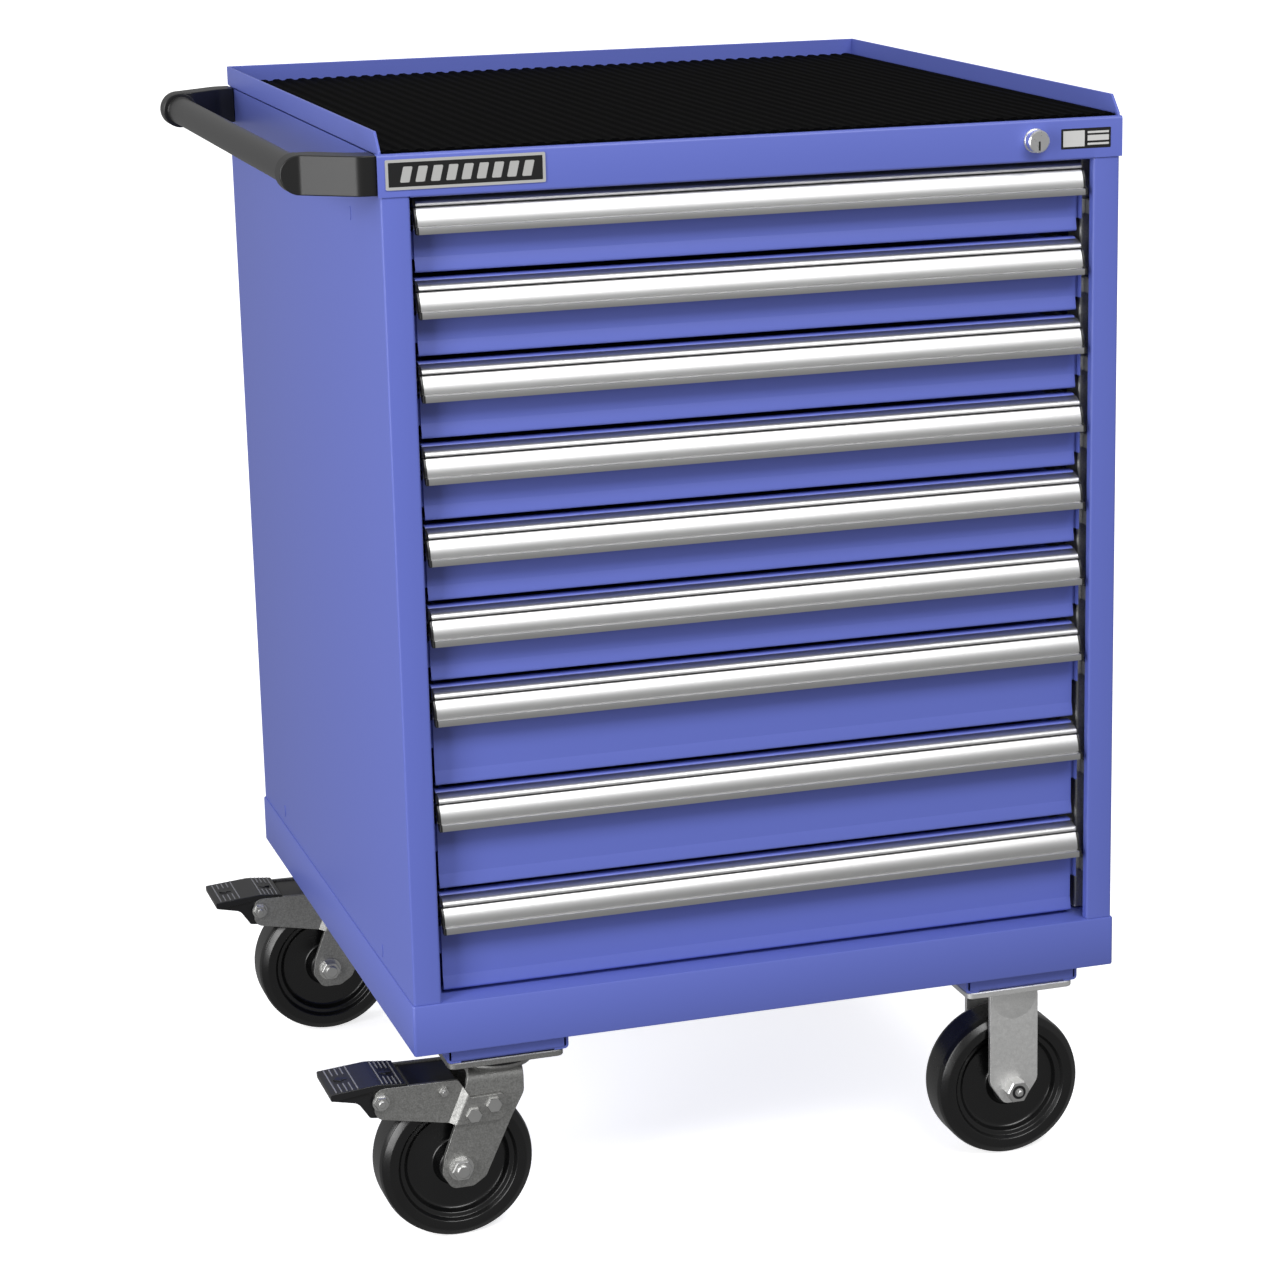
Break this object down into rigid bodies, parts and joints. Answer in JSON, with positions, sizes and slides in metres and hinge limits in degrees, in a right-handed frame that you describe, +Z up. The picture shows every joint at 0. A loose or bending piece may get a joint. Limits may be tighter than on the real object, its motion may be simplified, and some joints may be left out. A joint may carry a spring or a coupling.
{
  "type": "rolling tool chest",
  "caption": "Steel tool chest on casters: stacked full-width drawers with extruded aluminium pulls, side push handle, lock, and a lipped top tray with a ribbed rubber mat.",
  "frame": {"origin": "centre of the plan of the whole chest, on the floor the wheels stand on", "axes": "+Z up, -Y to the front where the drawers open, -X to the side with the handle and the swivel casters"},
  "size_m": [0.8004, 0.7394, 1.0763],
  "materials": {
    "blue_paint": "satin powder coat",
    "aluminium": "brushed and clear anodised",
    "zinc_steel": "zinc plated",
    "chrome": "polished",
    "mat_rubber": "matt, ribbed",
    "grip_rubber": "satin",
    "black_plastic": "fine texture",
    "wheel_phenolic": "gloss"
  },
  "bodies": {
    "housing": {"left_side_panel": "blue_paint", "right_side_panel": "blue_paint", "back_panel": "blue_paint", "base_frame": "blue_paint", "top_panel": "blue_paint", "top_mat": "mat_rubber", "left_caster_channel": "blue_paint", "right_caster_channel": "blue_paint", "left_slide_frame": "zinc_steel", "right_slide_frame": "zinc_steel", "handle_grip": "grip_rubber", "handle_bracket_front": "black_plastic", "handle_bracket_rear": "black_plastic", "caster_front_left_plate": "zinc_steel", "caster_front_right_bracket": "zinc_steel", "caster_front_right_axle": "zinc_steel", "caster_rear_left_plate": "zinc_steel", "caster_rear_right_bracket": "zinc_steel", "caster_rear_right_axle": "zinc_steel"},
    "lock": {"lock_cylinder": "chrome"},
    "lock_bar": {"lock_bar": "zinc_steel"},
    "drawer_1": {"drawer_1_box": "blue_paint", "drawer_1_pull": "aluminium"},
    "drawer_1_slides": {"drawer_1_carriage": "zinc_steel"},
    "drawer_2": {"drawer_2_box": "blue_paint", "drawer_2_pull": "aluminium"},
    "drawer_2_slides": {"drawer_2_carriage": "zinc_steel"},
    "drawer_3": {"drawer_3_box": "blue_paint", "drawer_3_pull": "aluminium"},
    "drawer_3_slides": {"drawer_3_carriage": "zinc_steel"},
    "drawer_4": {"drawer_4_box": "blue_paint", "drawer_4_pull": "aluminium"},
    "drawer_4_slides": {"drawer_4_carriage": "zinc_steel"},
    "drawer_5": {"drawer_5_box": "blue_paint", "drawer_5_pull": "aluminium"},
    "drawer_5_slides": {"drawer_5_carriage": "zinc_steel"},
    "drawer_6": {"drawer_6_box": "blue_paint", "drawer_6_pull": "aluminium"},
    "drawer_6_slides": {"drawer_6_carriage": "zinc_steel"},
    "drawer_7": {"drawer_7_box": "blue_paint", "drawer_7_pull": "aluminium"},
    "drawer_7_slides": {"drawer_7_carriage": "zinc_steel"},
    "drawer_8": {"drawer_8_box": "blue_paint", "drawer_8_pull": "aluminium"},
    "drawer_8_slides": {"drawer_8_carriage": "zinc_steel"},
    "drawer_9": {"drawer_9_box": "blue_paint", "drawer_9_pull": "aluminium"},
    "drawer_9_slides": {"drawer_9_carriage": "zinc_steel"},
    "caster_front_left_swivel": {"caster_front_left_fork": "zinc_steel", "caster_front_left_brake_bracket": "zinc_steel", "caster_front_left_axle": "zinc_steel"},
    "caster_front_left_wheel": {"caster_front_left_wheel": "wheel_phenolic"},
    "caster_front_left_pedal": {"caster_front_left_brake_pedal": "black_plastic"},
    "caster_front_right_wheel": {"caster_front_right_wheel": "wheel_phenolic"},
    "caster_rear_left_swivel": {"caster_rear_left_fork": "zinc_steel", "caster_rear_left_brake_bracket": "zinc_steel", "caster_rear_left_axle": "zinc_steel"},
    "caster_rear_left_wheel": {"caster_rear_left_wheel": "wheel_phenolic"},
    "caster_rear_left_pedal": {"caster_rear_left_brake_pedal": "black_plastic"},
    "caster_rear_right_wheel": {"caster_rear_right_wheel": "wheel_phenolic"}
  },
  "joints": [
    {"name": "lock_bar_drop", "type": "slide", "parent": "housing", "child": "lock_bar", "axis": [0, 0, -1], "range_m": [0, 0.00785]},
    {"name": "lock_turn", "type": "hinge", "parent": "housing", "child": "lock", "pos_m": [0.30985, -0.35795, 1.03822], "axis": [0, 1, 0], "range_deg": [0, 90]},
    {"name": "drawer_1_slide", "type": "slide", "parent": "housing", "child": "drawer_1", "axis": [0, -1, 0], "range_m": [0, 0.6]},
    {"name": "drawer_1_carriage_slide", "type": "slide", "parent": "housing", "child": "drawer_1_slides", "axis": [0, -1, 0], "range_m": [0, 0.3]},
    {"name": "drawer_2_slide", "type": "slide", "parent": "housing", "child": "drawer_2", "axis": [0, -1, 0], "range_m": [0, 0.6]},
    {"name": "drawer_2_carriage_slide", "type": "slide", "parent": "housing", "child": "drawer_2_slides", "axis": [0, -1, 0], "range_m": [0, 0.3]},
    {"name": "drawer_3_slide", "type": "slide", "parent": "housing", "child": "drawer_3", "axis": [0, -1, 0], "range_m": [0, 0.6]},
    {"name": "drawer_3_carriage_slide", "type": "slide", "parent": "housing", "child": "drawer_3_slides", "axis": [0, -1, 0], "range_m": [0, 0.3]},
    {"name": "drawer_4_slide", "type": "slide", "parent": "housing", "child": "drawer_4", "axis": [0, -1, 0], "range_m": [0, 0.6]},
    {"name": "drawer_4_carriage_slide", "type": "slide", "parent": "housing", "child": "drawer_4_slides", "axis": [0, -1, 0], "range_m": [0, 0.3]},
    {"name": "drawer_5_slide", "type": "slide", "parent": "housing", "child": "drawer_5", "axis": [0, -1, 0], "range_m": [0, 0.6]},
    {"name": "drawer_5_carriage_slide", "type": "slide", "parent": "housing", "child": "drawer_5_slides", "axis": [0, -1, 0], "range_m": [0, 0.3]},
    {"name": "drawer_6_slide", "type": "slide", "parent": "housing", "child": "drawer_6", "axis": [0, -1, 0], "range_m": [0, 0.6]},
    {"name": "drawer_6_carriage_slide", "type": "slide", "parent": "housing", "child": "drawer_6_slides", "axis": [0, -1, 0], "range_m": [0, 0.3]},
    {"name": "drawer_7_slide", "type": "slide", "parent": "housing", "child": "drawer_7", "axis": [0, -1, 0], "range_m": [0, 0.6]},
    {"name": "drawer_7_carriage_slide", "type": "slide", "parent": "housing", "child": "drawer_7_slides", "axis": [0, -1, 0], "range_m": [0, 0.3]},
    {"name": "drawer_8_slide", "type": "slide", "parent": "housing", "child": "drawer_8", "axis": [0, -1, 0], "range_m": [0, 0.6]},
    {"name": "drawer_8_carriage_slide", "type": "slide", "parent": "housing", "child": "drawer_8_slides", "axis": [0, -1, 0], "range_m": [0, 0.3]},
    {"name": "drawer_9_slide", "type": "slide", "parent": "housing", "child": "drawer_9", "axis": [0, -1, 0], "range_m": [0, 0.6]},
    {"name": "drawer_9_carriage_slide", "type": "slide", "parent": "housing", "child": "drawer_9_slides", "axis": [0, -1, 0], "range_m": [0, 0.3]},
    {"name": "caster_front_left_swivel", "type": "hinge", "parent": "housing", "child": "caster_front_left_swivel", "pos_m": [-0.22815, -0.29495, 0.17838], "axis": [0, 0, 1], "continuous": true},
    {"name": "caster_front_left_wheel_spin", "type": "hinge", "parent": "caster_front_left_swivel", "child": "caster_front_left_wheel", "pos_m": [-0.27365, -0.29495, 0.0762], "axis": [0, 1, 0], "continuous": true},
    {"name": "caster_front_left_brake", "type": "hinge", "parent": "caster_front_left_swivel", "child": "caster_front_left_pedal", "pos_m": [-0.34915, -0.29495, 0.15438], "axis": [0, -1, 0], "range_deg": [0, 12]},
    {"name": "caster_front_right_wheel_spin", "type": "hinge", "parent": "housing", "child": "caster_front_right_wheel", "pos_m": [0.30485, -0.29495, 0.0762], "axis": [0, 1, 0], "continuous": true},
    {"name": "caster_rear_left_swivel", "type": "hinge", "parent": "housing", "child": "caster_rear_left_swivel", "pos_m": [-0.22815, 0.30695, 0.17838], "axis": [0, 0, 1], "continuous": true},
    {"name": "caster_rear_left_wheel_spin", "type": "hinge", "parent": "caster_rear_left_swivel", "child": "caster_rear_left_wheel", "pos_m": [-0.27365, 0.30695, 0.0762], "axis": [0, 1, 0], "continuous": true},
    {"name": "caster_rear_left_brake", "type": "hinge", "parent": "caster_rear_left_swivel", "child": "caster_rear_left_pedal", "pos_m": [-0.34915, 0.30695, 0.15438], "axis": [0, -1, 0], "range_deg": [0, 12]},
    {"name": "caster_rear_right_wheel_spin", "type": "hinge", "parent": "housing", "child": "caster_rear_right_wheel", "pos_m": [0.30485, 0.30695, 0.0762], "axis": [0, 1, 0], "continuous": true}
  ],
  "couplings": [
    {"joint": "lock_turn", "follows": "lock_bar_drop", "rad_per_m": 200},
    {"joint": "drawer_1_carriage_slide", "follows": "drawer_1_slide", "ratio": 0.5},
    {"joint": "drawer_2_carriage_slide", "follows": "drawer_2_slide", "ratio": 0.5},
    {"joint": "drawer_3_carriage_slide", "follows": "drawer_3_slide", "ratio": 0.5},
    {"joint": "drawer_4_carriage_slide", "follows": "drawer_4_slide", "ratio": 0.5},
    {"joint": "drawer_5_carriage_slide", "follows": "drawer_5_slide", "ratio": 0.5},
    {"joint": "drawer_6_carriage_slide", "follows": "drawer_6_slide", "ratio": 0.5},
    {"joint": "drawer_7_carriage_slide", "follows": "drawer_7_slide", "ratio": 0.5},
    {"joint": "drawer_8_carriage_slide", "follows": "drawer_8_slide", "ratio": 0.5},
    {"joint": "drawer_9_carriage_slide", "follows": "drawer_9_slide", "ratio": 0.5}
  ]
}
